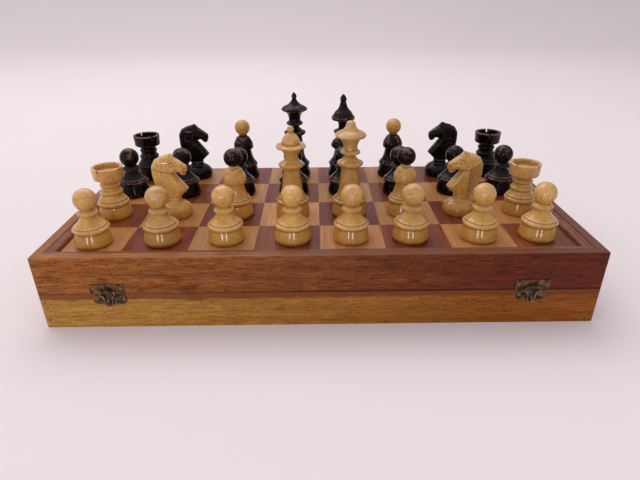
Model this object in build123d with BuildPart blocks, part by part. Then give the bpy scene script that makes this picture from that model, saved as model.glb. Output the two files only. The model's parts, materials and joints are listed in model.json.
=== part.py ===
# Folding chess box, closed, with its set of thirty-two chessmen standing on the upper board.
# Two equal trays are hinged along the back of their seam, and two wire bails clasp the front.
# Millimetres. +X runs along the front edge, +Y away from the front, +Z up.
# The origin is the middle of the footprint, on the surface that the box stands on.

import os
from math import sqrt

from build123d import *

# Board: each tray's outer face carries half of the squares
square = 47.5
columns = 8
rows = 4
margin = 10.0  # outer edge to the first line of squares, left, right and front
veneer = 1.0  # thickness of the squares
veneer_gap = 0.1  # glue line between two squares
panel = 5.0  # panel under the squares

# Trays
tray_height = 28.5  # seam to rim
rim = 4.0  # height of the rails above the squares
rail = 7.5  # thickness of the rails
groove = 3.0  # depth of the panel's groove in the rails
bead_width = 6.5  # moulding that covers the squares' outer edges
bead_height = 3.6
bead_lip = 0.9  # upright face of the bead beside the squares
bead_flat = 1.4  # level strip of the bead beside the rail
mitre_gap = 0.1  # joint line at the bead's corners

# Fits
snug = 0.02  # gap round a glued, nailed or screwed piece
running = 0.06  # gap round a shaft that turns
clear = 0.15  # gap beside a piece that swings past another

# Hinges, let into the back rails at the seam
hinge_x = 120.0  # middle of each hinge, left and right
hinge_length = 32.0
hinge_gap = 0.2  # the pin stands this far behind the back face
knuckle = 2.4  # radius of the barrel
middle_knuckle = 11.0  # length of the upper leaf's knuckle
knuckle_gap = 0.3  # gap between two knuckles
hinge_pin = 0.9
leaf = 1.0  # thickness of a leaf
leaf_depth = 6.8  # front edge of a leaf to the back face
leaf_sink = 0.1  # a leaf lies this far under the seam
leaf_inset = 4.5  # middle of the screws to the back face
screw_pitch = 11.0
screw_head = 1.7
screw_shank = 0.8
screw_length = 9.0
screw_slot = 0.5

# Clasps, on the front
clasp_x = 150.0  # middle of each clasp, left and right
plate = 0.5  # thickness of the plates
clasp_length = 24.2
clasp_height = 7.9
clasp_corner = 0.8  # rounding of the left corners
clasp_end = 3.0  # rounding of the right corners
catch_length = 23.4
catch_height = 7.6
catch_corner = 2.6
catch_drop = 0.7  # seam to the top of the catch plate
catch_shift = {"left": 0.9, "right": 1.2}  # each catch plate was nailed on by eye
wire = 0.7  # radius of the bail's wire
bail_rise = 2.3  # seam to the bail's pivot
bail_width = 9.6  # between the middles of the legs at the pivot
bail_shoulder = 10.4  # the same at the shoulders
bail_waist = 5.4  # the same under the shoulders
bail_foot = 4.5  # the same at the foot
bail_drop = 11.7  # pivot to the middle of the foot
bail_ends = 0.6  # gap between the ends of the wire, inside the roll
roll = 1.25  # radius of the roll that holds the bail
roll_length = 7.6
tongue_width = 2.2
tongue_reach = 1.9  # how far the tongue stands out of the catch plate
tongue_height = 5.4
tongue_metal = 0.7
tongue_gap = 0.35  # from the tip of the tongue to the wire

# Nails
nail_shank = 0.55
nail_head = 1.05
nail_dome = 0.4
nail_length = 6.5
nail_pitch = 9.6  # middle of a plate to its nails
brad_shank = 0.5
brad_length = 15.0
brad_inset = 4.0  # end of the box to its corner brads
brad_heights = [6.5, 22.0]  # seam to the corner brads

# Chessmen: each outline is read from the foot up as (radius, height, bulge), where bulge is how
# far the stretch up to that point swells out of a straight line, or falls in when it is negative
pawn_outline = [
    (12.2, 0, 0),
    (13.5, 3.2, 0.45),  # widest round of the foot
    (11.3, 11.0, 0.2),
    (12.8, 12.0, 0.1),  # skirt
    (12.7, 13.9, 0.35),
    (11.0, 15.0, 0),
    (11.0, 15.7, 0),
    (5.4, 22.7, -0.7),  # hollow shoulder
    (5.4, 23.4, 0),
    (7.2, 24.0, 0),  # collar
    (6.9, 25.7, 0.4),
]
pawn_neck = 4.6
pawn_ball = 8.2
pawn_ball_z = 34.6

rook_outline = [
    (12.0, 0, 0),
    (13.0, 3.0, 0.4),
    (11.2, 10.6, 0.2),
    (12.2, 11.8, 0.1),  # skirt
    (12.1, 13.6, 0.25),
    (10.9, 14.6, 0),
    (10.6, 15.9, 0.3),  # step
    (9.9, 16.5, 0),
    (8.4, 20.4, -0.3),
    (8.9, 21.4, 0.2),  # lower ring
    (8.6, 22.8, 0.2),
    (7.5, 23.6, 0),
    (7.3, 26.2, -0.2),
    (7.9, 27.3, 0.2),  # upper ring
    (7.6, 28.6, 0.2),
    (6.9, 29.4, 0),
    (7.2, 30.4, 0),
    (11.2, 32.6, -0.7),  # underside of the tower
    (11.6, 34.4, 0.3),
    (12.1, 42.3, 0),
]
rook_height = 42.3
rook_well = 9.8  # radius of the hollow top
rook_well_depth = 3.7
rook_notches = 4
rook_notch = 1.5
rook_notch_depth = 3.0

bishop_outline = [
    (12.4, 0, 0),
    (13.4, 3.0, 0.45),
    (11.3, 11.0, 0.2),
    (12.1, 12.0, 0.1),  # skirt
    (12.0, 13.7, 0.3),
    (10.9, 14.7, 0),
    (10.7, 15.6, 0.2),  # step
    (10.0, 16.1, 0),
    (7.0, 27.6, -0.6),
    (7.0, 28.2, 0),
    (9.1, 28.7, 0),  # hood
    (9.3, 30.0, 0.15),
    (7.2, 37.0, 0.7),
    (4.2, 40.4, 0.5),
]
bishop_seat = 3.4  # radius of the flat that the ball is glued to
bishop_ball = 7.3
bishop_ball_z = 48.4
bishop_tenon = 1.6
bishop_tenon_length = 4.0

king_outline = [
    (13.2, 0, 0),
    (14.3, 3.2, 0.45),
    (12.2, 11.2, 0.2),
    (13.4, 12.2, 0.1),  # skirt
    (13.3, 13.9, 0.3),
    (11.9, 14.9, 0),
    (11.6, 15.9, 0.2),  # step
    (10.9, 16.5, 0),
    (8.4, 26.0, -0.7),
    (6.9, 39.4, -0.2),
    (7.3, 41.2, 0),
    (9.7, 42.2, 0.1),  # great collar
    (9.6, 44.8, 0.7),
    (4.2, 49.2, -0.7),
    (4.2, 50.0, 0),
    (7.4, 51.4, 0),  # small collar
    (7.4, 53.4, 0.5),
    (5.7, 54.6, 0),
    (5.5, 57.2, -0.1),
    (6.3, 60.2, -0.1),
    (11.7, 64.6, -0.8),  # underside of the crown
    (11.8, 66.6, 0.5),
]
king_spire = [
    (7.3, 69.1, 0.3),
    (4.0, 71.9, -0.2),
    (1.8, 75.6, -0.3),
    (2.6, 77.2, 0.2),
    (0.4, 80.9, 0.3),
]
king_stump = [
    (8.0, 69.0, 0.2),
    (6.1, 69.8, 0),
    (3.7, 73.6, -0.3),
    (3.0, 76.0, 0.2),
    (0.4, 76.8, 0.2),
]

light_queen_outline = [
    (12.9, 0, 0),
    (13.9, 3.2, 0.45),
    (11.9, 11.2, 0.2),
    (13.1, 12.3, 0.1),  # skirt
    (13.0, 14.0, 0.3),
    (11.6, 14.9, 0),
    (11.3, 15.9, 0.2),  # step
    (10.6, 16.5, 0),
    (8.1, 26.0, -0.7),
    (6.6, 38.8, -0.2),
    (7.0, 40.4, 0),
    (9.6, 41.4, 0.1),  # collar
    (9.5, 44.0, 0.7),
    (5.3, 47.6, -0.6),
    (5.6, 51.2, -0.1),
    (11.4, 56.4, -1.1),  # underside of the crown
    (11.4, 58.4, 0.5),
    (7.1, 59.5, 0),  # dome
    (6.2, 63.8, 0.5),
    (2.2, 67.9, 0.3),
]
light_queen_neck = 2.0
light_queen_ball = 2.6
light_queen_ball_z = 70.7

dark_queen_outline = [
    (13.2, 0, 0),
    (14.2, 3.2, 0.45),
    (12.0, 11.2, 0.2),
    (13.3, 12.3, 0.1),  # skirt
    (13.2, 13.9, 0.3),
    (11.9, 14.9, 0),
    (11.6, 15.9, 0.2),  # step
    (10.9, 16.5, 0),
    (8.0, 26.2, -0.6),
    (8.3, 27.4, 0),
    (10.9, 29.4, 0.1),  # mushroom
    (10.8, 32.8, 0.7),
    (7.4, 36.8, 0.5),
    (4.5, 38.6, 0.1),
    (4.5, 41.2, 0),
    (8.6, 42.8, -0.2),  # collar
    (8.6, 45.0, 0.5),
    (4.4, 47.3, -0.2),
    (4.4, 50.4, 0),
    (5.4, 53.4, -0.1),
    (10.5, 55.4, -0.3),  # bell
    (11.0, 57.8, 0.4),
    (7.9, 62.5, -0.2),
    (5.2, 65.3, -0.1),
    (3.8, 68.1, -0.1),
    (2.5, 72.6, -0.1),
    (3.2, 74.6, 0.3),  # finial
    (0.4, 78.9, 0.3),
]

knight_foot = [
    (11.8, 0, 0),
    (13.5, 4.2, 0.5),
    (11.6, 9.0, 0.7),
    (7.4, 12.0, 0.4),
    (6.2, 13.4, -0.2),
    (6.0, 16.0, -0.2),
]
knight_neck = 16.0  # height of the foot, where the head is glued on
knight_width = 11.0
knight_edge = 1.6  # rounding of the head's edges
# The head from the side: (forward of the foot's axis, height)
knight_chest = [(5.6, knight_neck), (12.6, 23.2), (2.4, 36.6)]
knight_jaw = [(6.2, 37.6), (8.8, 34.8), (11.4, 34.4)]
knight_face = [(13.3, 38.4), (13.2, 42.2), (8.6, 45.8), (4.4, 48.8)]
knight_crest = [(1.2, 52.6), (-1.6, 51.4), (-6.4, 50.2), (-11.8, 47.4)]
knight_back = [(-14.7, 42.4), (-14.8, 34.0), (-13.8, 26.5), (-11.0, 20.4), (-7.2, knight_neck)]

# Where the men stand: how far each is from the middle of its square, to the right and away
light_pawns = [(0, -3), (2.4, 0), (1.9, 0.5), (3.8, 0), (-0.5, 0), (-3.8, 0.5), (-0.5, 0), (-3.8, 1)]
dark_pawns = [(-0.7, 0), (-2, 0), (0.5, 0), (1.2, 0), (-1.5, 0), (0.5, 0), (2.2, 0), (-2.1, 0)]
light_men = {
    "rook_left": (-1.6, 0),
    "knight_left": (0.8, 0),
    "bishop_left": (3.6, 0),
    "queen": (2.0, 0),
    "king": (1.0, 0),
    "bishop_right": (-2.1, 0),
    "knight_right": (-2.9, 0),
    "rook_right": (-1.5, 0),
}
dark_men = {
    "rook_left": (1.4, 0),
    "knight_left": (0, 0),
    "bishop_left": (-1.0, 0),
    "king": (1.7, 0),
    "queen": (0.3, 0),
    "bishop_right": (1.2, 0),
    "knight_right": (1.1, 0),
    "rook_right": (-1.9, 0),
}
knight_turns = {"left": 0, "right": 180}  # the knights face the middle of the board

# Worked out from the sizes above
length = columns * square + 2 * margin
depth = rows * square + margin
front = -depth / 2
back = depth / 2
inner_x = length / 2 - rail
inner_front = front + rail
seam = tray_height
board_z = 2 * tray_height - rim
panel_top = board_z - veneer
panel_bottom = panel_top - panel
panel_front = inner_front - groove
seam_plane = Plane.XY.offset(seam)
front_plane = Plane.XZ.offset(depth / 2)
hinges = [-hinge_x, hinge_x]
hinge_y = back + hinge_gap
screw_points = [(x + step * screw_pitch, back - leaf_inset) for x in hinges for step in (-1, 0, 1)]
sides = {"left": -1, "right": 1}
plate_y = front - plate
bail_y = plate_y - clear - wire
bail_z = seam + bail_rise
trays = ["lower", "upper"]


def save(piece, name):
    piece.part.label = name
    export_step(piece.part, f"parts/{name}.step")


def nail_points(tray):
    """Nails of the front plates, as (x, height) on an upper tray."""
    if tray == "upper":
        shift = {side: 0 for side in sides}
        height = seam + clasp_height / 2
    else:
        shift = catch_shift
        height = seam + catch_drop + catch_height / 2
    return [
        (sides[side] * clasp_x + shift[side] + step * nail_pitch, height)
        for side in sides
        for step in (-1, 1)
    ]


def brad_points():
    """Brads that pin the front corners, as (x, height) on an upper tray."""
    return [(side * (length / 2 - brad_inset), seam + rise) for side in (-1, 1) for rise in brad_heights]


# Each tray's pieces are drawn as the upper tray's, and the lower tray's are their mirror image


def front_rail(tray):
    with BuildPart() as rail_part:
        with BuildSketch(seam_plane):
            with BuildLine():
                Polyline(
                    (-length / 2, front),
                    (length / 2, front),
                    (inner_x, inner_front),
                    (-inner_x, inner_front),
                    close=True,
                )
            make_face()
        extrude(amount=tray_height)
        with BuildSketch(Plane.XY.offset(panel_bottom)):
            with Locations((0, inner_front - groove / 2)):
                Rectangle(2 * (inner_x + groove), groove)
        extrude(amount=panel, mode=Mode.SUBTRACT)
        with BuildSketch(front_plane):
            with Locations(*nail_points(tray)):
                Circle(nail_shank + snug)
        extrude(amount=-nail_length, mode=Mode.SUBTRACT)
        with BuildSketch(front_plane):
            with Locations(*brad_points()):
                Circle(brad_shank + snug)
        extrude(amount=-rail, mode=Mode.SUBTRACT)
        if tray == "lower":
            mirror(about=seam_plane, mode=Mode.REPLACE)
    save(rail_part, f"{tray}_front_rail")


def side_rails(tray):
    with BuildPart() as rails_part:
        with BuildSketch(seam_plane):
            with BuildLine():
                Polyline(
                    (length / 2, front),
                    (length / 2, back),
                    (inner_x, back),
                    (inner_x, inner_front),
                    close=True,
                )
            make_face()
            mirror(about=Plane.YZ)
        extrude(amount=tray_height)
        with BuildSketch(Plane.XY.offset(panel_bottom)):
            with Locations((0, (panel_front + back) / 2)):
                Rectangle(2 * (inner_x + groove), back - panel_front)
        extrude(amount=panel, mode=Mode.SUBTRACT)
        with BuildSketch(front_plane):
            with Locations(*brad_points()):
                Circle(brad_shank + snug)
        extrude(amount=-brad_length - snug, mode=Mode.SUBTRACT)
        if tray == "lower":
            mirror(about=seam_plane, mode=Mode.REPLACE)
    save(rails_part, f"{tray}_side_rails")


def back_rail(tray):
    with BuildPart() as rail_part:
        with BuildSketch(seam_plane):
            with Locations((0, back - rail / 2)):
                Rectangle(2 * inner_x, rail)
        extrude(amount=panel_bottom - seam)
        with BuildSketch(seam_plane):
            with Locations(*[(x, back - leaf_depth / 2) for x in hinges]):
                Rectangle(hinge_length + 2 * snug, leaf_depth + 2 * snug)
        extrude(amount=leaf_sink + leaf, mode=Mode.SUBTRACT)
        with Locations(*[(x, hinge_y, seam) for x in hinges]):
            Cylinder(knuckle + clear, hinge_length + 2 * clear, rotation=(0, 90, 0), mode=Mode.SUBTRACT)
        with BuildSketch(seam_plane):
            with Locations(*screw_points):
                Circle(screw_shank + snug)
        extrude(amount=leaf_sink + screw_length + snug, mode=Mode.SUBTRACT)
        if tray == "lower":
            mirror(about=seam_plane, mode=Mode.REPLACE)
    save(rail_part, f"{tray}_back_rail")


def board_panel(tray):
    with BuildPart() as panel_part:
        with BuildSketch(Plane.XY.offset(panel_bottom)):
            with Locations((0, (panel_front + back) / 2)):
                Rectangle(2 * (inner_x + groove), back - panel_front)
        extrude(amount=panel)
        if tray == "lower":
            mirror(about=seam_plane, mode=Mode.REPLACE)
    save(panel_part, f"{tray}_panel")


def squares(tray, colour):
    # The outer squares run on under the bead, as far as the rails
    across = [-inner_x] + [(column - columns / 2) * square for column in range(1, columns)] + [inner_x]
    away = [inner_front] + [front + margin + row * square for row in range(1, rows)] + [back]
    # The near left square is light on the upper tray and dark on the lower one
    parity = int((colour == "dark") != (tray == "lower"))
    with BuildPart() as squares_part:
        for column in range(columns):
            for row in range(rows):
                if (column + row) % 2 == parity:
                    with BuildSketch(Plane.XY.offset(panel_top)):
                        with Locations(
                            ((across[column] + across[column + 1]) / 2, (away[row] + away[row + 1]) / 2)
                        ):
                            Rectangle(
                                across[column + 1] - across[column] - veneer_gap,
                                away[row + 1] - away[row] - veneer_gap,
                            )
                    extrude(amount=veneer)
        if tray == "lower":
            mirror(about=seam_plane, mode=Mode.REPLACE)
    save(squares_part, f"{tray}_{colour}_squares")


def bead(tray):
    with BuildPart() as bead_part:
        with BuildLine():
            Polyline(
                (-inner_x, back, board_z),
                (-inner_x, inner_front, board_z),
                (inner_x, inner_front, board_z),
                (inner_x, back, board_z),
            )
        with BuildSketch(Plane(origin=(-inner_x, back, board_z), x_dir=(1, 0, 0), z_dir=(0, -1, 0))):
            with BuildLine():
                Polyline(
                    (bead_width, bead_lip),
                    (bead_width, 0),
                    (0, 0),
                    (0, bead_height),
                    (bead_flat, bead_height),
                )
                EllipticalCenterArc(
                    (bead_flat, bead_lip),
                    bead_width - bead_flat,
                    bead_height - bead_lip,
                    start_angle=0,
                    arc_size=90,
                )
            make_face()
        sweep(transition=Transition.RIGHT)
        with Locations(
            Location((-inner_x, inner_front, board_z), (0, 0, 45)),
            Location((inner_x, inner_front, board_z), (0, 0, 135)),
        ):
            Box(3 * bead_width, mitre_gap, 3 * bead_height, mode=Mode.SUBTRACT)
        if tray == "lower":
            mirror(about=seam_plane, mode=Mode.REPLACE)
    save(bead_part, f"{tray}_bead")


def hinge_leaves(tray):
    outer_knuckle = (hinge_length - middle_knuckle) / 2 - knuckle_gap
    outer_x = (hinge_length - outer_knuckle) / 2
    leaf_back = hinge_y - knuckle - clear
    if tray == "upper":
        knuckles = [(x, middle_knuckle) for x in hinges]
        bore = hinge_pin + running
    else:
        knuckles = [(x + side * outer_x, outer_knuckle) for x in hinges for side in (-1, 1)]
        bore = hinge_pin + snug
    with BuildPart() as hinge_part:
        with BuildSketch(Plane.XY.offset(seam + leaf_sink)):
            with Locations(*[(x, (back - leaf_depth + leaf_back) / 2) for x in hinges]):
                Rectangle(hinge_length, leaf_back - back + leaf_depth)
        extrude(amount=leaf)
        for x, knuckle_length in knuckles:
            with BuildSketch(Plane.XY.offset(seam + leaf_sink)):
                with Locations((x, (leaf_back + hinge_y) / 2)):
                    Rectangle(knuckle_length, hinge_y - leaf_back)
            extrude(amount=leaf)
            with Locations((x, hinge_y, seam)):
                Cylinder(knuckle, knuckle_length, rotation=(0, 90, 0))
                Cylinder(bore, knuckle_length, rotation=(0, 90, 0), mode=Mode.SUBTRACT)
        with Locations(*[(x, y, seam + leaf_sink) for x, y in screw_points]):
            Cone(
                screw_head + snug,
                screw_shank + snug,
                leaf,
                align=(Align.CENTER, Align.CENTER, Align.MIN),
                mode=Mode.SUBTRACT,
            )
        if tray == "lower":
            with Locations(*[(x, hinge_y, seam) for x in hinges]):
                Cylinder(hinge_pin, hinge_length, rotation=(0, 90, 0))
            mirror(about=seam_plane, mode=Mode.REPLACE)
    save(hinge_part, f"{tray}_hinge_leaves")


def hinge_screws(tray):
    standing = (Align.CENTER, Align.CENTER, Align.MIN)
    with BuildPart() as screws_part:
        with Locations(*[(x, y, seam + leaf_sink) for x, y in screw_points]):
            Cone(screw_head, screw_shank, leaf, align=standing)
            Cylinder(screw_shank, screw_length, align=standing)
            Box(2 * screw_head, screw_slot, screw_slot, align=standing, mode=Mode.SUBTRACT)
        if tray == "lower":
            mirror(about=seam_plane, mode=Mode.REPLACE)
    save(screws_part, f"{tray}_hinge_screws")


def front_nails(tray):
    """Nails of the clasp or catch plates, and the brads of the corners."""
    with BuildPart() as nails_part:
        for x, z in nail_points(tray):
            with BuildSketch(Plane.XZ.offset(depth / 2 + plate)):
                with Locations((x, z)):
                    Circle(nail_head)
            extrude(amount=nail_dome, taper=40)
            with BuildSketch(Plane.XZ.offset(depth / 2 + plate)):
                with Locations((x, z)):
                    Circle(nail_shank)
            extrude(amount=-nail_length)
        for x, z in brad_points():
            with BuildSketch(front_plane):
                with Locations((x, z)):
                    Circle(brad_shank)
            extrude(amount=-brad_length)
        if tray == "lower":
            mirror(about=seam_plane, mode=Mode.REPLACE)
    save(nails_part, f"{tray}_nails")


def clasp_plates():
    with BuildPart() as plates_part:
        for side in sides:
            x = sides[side] * clasp_x
            with BuildSketch(front_plane) as outline:
                with Locations((x, seam + clasp_height / 2)):
                    Rectangle(clasp_length, clasp_height)
                corners = outline.vertices().sort_by(Axis.X)
                fillet(corners[:2], clasp_corner)
                fillet(corners[2:], clasp_end)
            extrude(amount=plate)
            with Locations((x, bail_y, bail_z)):
                Cylinder(roll, roll_length, rotation=(0, 90, 0))
                Cylinder(wire + running, roll_length, rotation=(0, 90, 0), mode=Mode.SUBTRACT)
        with BuildSketch(front_plane):
            with Locations(*nail_points("upper")):
                Circle(nail_shank + snug)
        extrude(amount=plate, mode=Mode.SUBTRACT)
    save(plates_part, "clasp_plates")


def bail(side):
    """One wire, bent to a loop, whose ends meet inside the roll."""
    x = sides[side] * clasp_x
    half = [
        (bail_ends / 2, 0),
        (bail_width / 2, 0),
        (bail_shoulder / 2, -2.6),
        (bail_waist / 2, -5.0),
        (bail_foot / 2, -bail_drop),
    ]
    bends = [0.8, 1.3, 2.0, 2.1]
    with BuildPart() as bail_part:
        with BuildLine(Plane(origin=(x, bail_y, bail_z), x_dir=(1, 0, 0), z_dir=(0, -1, 0))) as route:
            FilletPolyline(
                *half,
                *[(-px, pz) for px, pz in reversed(half)],
                radius=bends + bends[::-1],
            )
        with BuildSketch(Plane(origin=route.line @ 0, z_dir=route.line % 0)):
            Circle(wire)
        sweep()
    save(bail_part, f"{side}_bail")


def catch_plates():
    tip_z = bail_z - bail_drop + wire + tongue_gap
    root_z = tip_z + tongue_height
    reach_y = plate_y - tongue_reach
    with BuildPart() as plates_part:
        for side in sides:
            x = sides[side] * clasp_x
            with BuildSketch(front_plane):
                with Locations((x + catch_shift[side], seam - catch_drop - catch_height / 2)):
                    RectangleRounded(catch_length, catch_height, catch_corner)
            extrude(amount=plate)
            # A tongue curls out of the plate and points down, in front of the bail's foot
            with BuildSketch(Plane.YZ.offset(x)):
                with BuildLine():
                    Line((front - plate / 2, root_z), (plate_y, root_z))
                    SagittaArc((plate_y, root_z), (reach_y, tip_z + tongue_metal), -0.7)
                    Line((reach_y, tip_z + tongue_metal), (reach_y, tip_z))
                    Line((reach_y, tip_z), (reach_y + tongue_metal, tip_z))
                    Line((reach_y + tongue_metal, tip_z), (reach_y + tongue_metal, tip_z + tongue_metal))
                    SagittaArc(
                        (reach_y + tongue_metal, tip_z + tongue_metal),
                        (plate_y, root_z - 2 * tongue_metal),
                        0.5,
                    )
                    Polyline(
                        (plate_y, root_z - 2 * tongue_metal),
                        (front - plate / 2, root_z - 2 * tongue_metal),
                        (front - plate / 2, root_z),
                    )
                make_face()
            extrude(amount=tongue_width / 2, both=True)
        with BuildSketch(front_plane):
            with Locations(*[(px, 2 * seam - pz) for px, pz in nail_points("lower")]):
                Circle(nail_shank + snug)
        extrude(amount=plate, mode=Mode.SUBTRACT)
    save(plates_part, "catch_plates")


def half_section(outline, ball=None):
    """Half of a turned man, as a face to revolve. A ball is given as (radius, height of its middle)."""
    with BuildSketch(Plane.XZ) as section:
        with BuildLine():
            Line((0, outline[0][1]), outline[0][:2])
            for (r0, z0, _), (r1, z1, bulge) in zip(outline, outline[1:]):
                if bulge == 0:
                    Line((r0, z0), (r1, z1))
                else:
                    run = sqrt((r1 - r0) ** 2 + (z1 - z0) ** 2)
                    middle_r = (r0 + r1) / 2 + bulge * (z1 - z0) / run
                    middle_z = (z0 + z1) / 2 - bulge * (r1 - r0) / run
                    ThreePointArc((r0, z0), (middle_r, middle_z), (r1, z1))
            top_r, top_z, _ = outline[-1]
            if ball:
                ThreePointArc((top_r, top_z), (ball[0], ball[1]), (0, ball[1] + ball[0]))
                top_z = ball[1] + ball[0]
            else:
                Line((top_r, top_z), (0, top_z))
            Line((0, top_z), (0, outline[0][1]))
        make_face()
    return section.sketch


def on_ball(neck, ball, ball_z):
    """Height at which a ball is as wide as the neck under it."""
    return ball_z - sqrt(ball**2 - neck**2)


def pawn_shape():
    neck = (pawn_neck, on_ball(pawn_neck, pawn_ball, pawn_ball_z), 0)
    with BuildPart() as pawn:
        revolve(half_section(pawn_outline + [neck], (pawn_ball, pawn_ball_z)), axis=Axis.Z)
    return pawn.part


def rook_shape():
    with BuildPart() as rook:
        revolve(half_section(rook_outline), axis=Axis.Z)
        with BuildSketch(Plane.XY.offset(rook_height)):
            Circle(rook_well)
        extrude(amount=-rook_well_depth, mode=Mode.SUBTRACT)
        with BuildSketch(Plane.XY.offset(rook_height)):
            with PolarLocations(rook_well + rook_notch, rook_notches):
                Rectangle(3 * rook_notch, rook_notch)
        extrude(amount=-rook_notch_depth, mode=Mode.SUBTRACT)
    return rook.part


def bishop_shape():
    seat_z = on_ball(bishop_seat, bishop_ball, bishop_ball_z)
    with BuildPart() as bishop:
        revolve(half_section(bishop_outline + [(bishop_seat, seat_z - snug, 0)]), axis=Axis.Z)
        with BuildSketch(Plane.XY.offset(seat_z)):
            Circle(bishop_tenon + snug)
        extrude(amount=-bishop_tenon_length - snug, mode=Mode.SUBTRACT)
    return bishop.part


def bishop_ball_shape():
    seat_z = on_ball(bishop_seat, bishop_ball, bishop_ball_z)
    foot = [
        (bishop_tenon, seat_z - bishop_tenon_length, 0),
        (bishop_tenon, seat_z, 0),
        (bishop_seat, seat_z, 0),
    ]
    with BuildPart() as head:
        revolve(half_section(foot, (bishop_ball, bishop_ball_z)), axis=Axis.Z)
    return head.part


def king_shape(top):
    with BuildPart() as king:
        revolve(half_section(king_outline + top), axis=Axis.Z)
    return king.part


def light_queen_shape():
    neck = (light_queen_neck, on_ball(light_queen_neck, light_queen_ball, light_queen_ball_z), 0)
    with BuildPart() as queen:
        ball = (light_queen_ball, light_queen_ball_z)
        revolve(half_section(light_queen_outline + [neck], ball), axis=Axis.Z)
    return queen.part


def dark_queen_shape():
    with BuildPart() as queen:
        revolve(half_section(dark_queen_outline), axis=Axis.Z)
    return queen.part


def knight_shape():
    """A turned foot and a carved head, glued together."""
    with BuildPart() as knight:
        with BuildSketch(Plane.XZ):
            with BuildLine():
                Polyline(*knight_chest, *knight_jaw, *knight_face, *knight_crest, *knight_back, close=True)
            make_face()
        extrude(amount=knight_width / 2, both=True)
        chamfer(knight.faces().filter_by(Axis.Y).edges(), knight_edge)
        revolve(half_section(knight_foot[:-1] + [(knight_foot[-1][0], knight_neck - snug, 0)]), axis=Axis.Z)
    return knight.part


def stand(shape, name, column, row, nudge, turn=0):
    """Stands a man on its square."""
    x = (column + 0.5 - columns / 2) * square + nudge[0]
    y = front + margin + (row + 0.5) * square + nudge[1]
    with BuildPart() as man:
        with Locations(Location((x, y, board_z), (0, 0, turn))):
            add(shape)
    save(man, name)


def chessmen():
    pawn = pawn_shape()
    for column, nudge in enumerate(light_pawns):
        stand(pawn, f"light_pawn_{column + 1}", column, 0, nudge)
    for column, nudge in enumerate(dark_pawns):
        stand(pawn, f"dark_pawn_{column + 1}", column, 2, nudge)
    shapes = {"rook": rook_shape(), "knight": knight_shape(), "bishop": bishop_shape()}
    ball = bishop_ball_shape()
    royals = {
        "light_king": king_shape(king_stump),
        "dark_king": king_shape(king_spire),
        "light_queen": light_queen_shape(),
        "dark_queen": dark_queen_shape(),
    }
    for colour, men, row in [("light", light_men, 1), ("dark", dark_men, 3)]:
        for column, (man, nudge) in enumerate(men.items()):
            name = f"{colour}_{man}"
            if name in royals:
                stand(royals[name], name, column, row, nudge)
                continue
            kind, side = man.split("_")
            turn = knight_turns[side] if kind == "knight" else 0
            stand(shapes[kind], name, column, row, nudge, turn)
            if kind == "bishop":
                stand(ball, f"{name}_ball", column, row, nudge)


os.makedirs("parts", exist_ok=True)
for tray in trays:
    front_rail(tray)
    side_rails(tray)
    back_rail(tray)
    board_panel(tray)
    squares(tray, "light")
    squares(tray, "dark")
    bead(tray)
    hinge_leaves(tray)
    hinge_screws(tray)
    front_nails(tray)
clasp_plates()
catch_plates()
for side in sides:
    bail(side)
chessmen()
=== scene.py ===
# A folding chess box, closed, with its set of chessmen standing on the upper board.
# Metres, in the CAD frame: +X along the front edge, +Y away from the front, +Z up.

import json
import math

import bmesh
import bpy
import numpy as np
from mathutils import Matrix, Vector
from mathutils.geometry import delaunay_2d_cdt


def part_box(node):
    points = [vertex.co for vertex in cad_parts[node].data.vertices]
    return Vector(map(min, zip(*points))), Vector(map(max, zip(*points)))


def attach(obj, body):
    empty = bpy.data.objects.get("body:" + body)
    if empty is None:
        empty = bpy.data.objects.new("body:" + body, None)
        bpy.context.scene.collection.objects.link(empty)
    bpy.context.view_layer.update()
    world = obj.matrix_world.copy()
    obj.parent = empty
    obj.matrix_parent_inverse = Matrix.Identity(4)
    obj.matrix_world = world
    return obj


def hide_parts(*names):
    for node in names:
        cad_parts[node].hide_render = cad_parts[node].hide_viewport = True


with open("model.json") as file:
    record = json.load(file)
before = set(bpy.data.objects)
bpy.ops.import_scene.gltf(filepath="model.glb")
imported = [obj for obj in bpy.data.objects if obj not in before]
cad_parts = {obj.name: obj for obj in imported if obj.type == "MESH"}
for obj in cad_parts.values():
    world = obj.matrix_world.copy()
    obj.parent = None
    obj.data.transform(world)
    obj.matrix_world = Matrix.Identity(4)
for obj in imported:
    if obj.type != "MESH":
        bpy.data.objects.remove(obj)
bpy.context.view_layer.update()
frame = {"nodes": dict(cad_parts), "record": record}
nodes = frame["nodes"]
bodyOf = {node: body for body, held in frame["record"]["behaviour"]["bodies"].items() for node in held}
mm = 0.001

# Places that several pieces share, all read from the frame
railLow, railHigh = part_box("upper_front_rail")
backLow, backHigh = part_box("upper_back_rail")
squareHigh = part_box("upper_light_squares")[1]
outerX, front, innerFront = railHigh[0], railLow[1], railHigh[1]
innerX, back, innerBack = backHigh[0], backHigh[1], backLow[1]
seam, top, boardTop = railLow[2], railHigh[2], squareHigh[2]
trays = ["lower", "upper"]


# Nodes, sockets and colours


def pick(sockets, key):
    # a socket in use, by its identifier or else by its name
    for attribute in ("identifier", "name"):
        for socket in sockets:
            if getattr(socket, attribute) == key and socket.enabled:
                return socket
    raise KeyError(key)


def addNode(tree, kind, settings=None, values=None, links=None):
    # settings are the node's options, values its plain inputs, links its inputs fed by (node, output)
    node = tree.nodes.new(kind)
    for key, value in (settings or {}).items():
        setattr(node, key, value)
    for key, value in (values or {}).items():
        pick(node.inputs, key).default_value = value
    for key, (source, output) in (links or {}).items():
        tree.links.new(pick(source.outputs, output), pick(node.inputs, key))
    return node


def linear(colour):
    # sRGB hex to the linear colour that the shaders use
    channels = [int(colour[start:start + 2], 16) / 255 for start in (1, 3, 5)]
    return [c / 12.92 if c <= 0.04045 else ((c + 0.055) / 1.055) ** 2.4 for c in channels] + [1.0]


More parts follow.
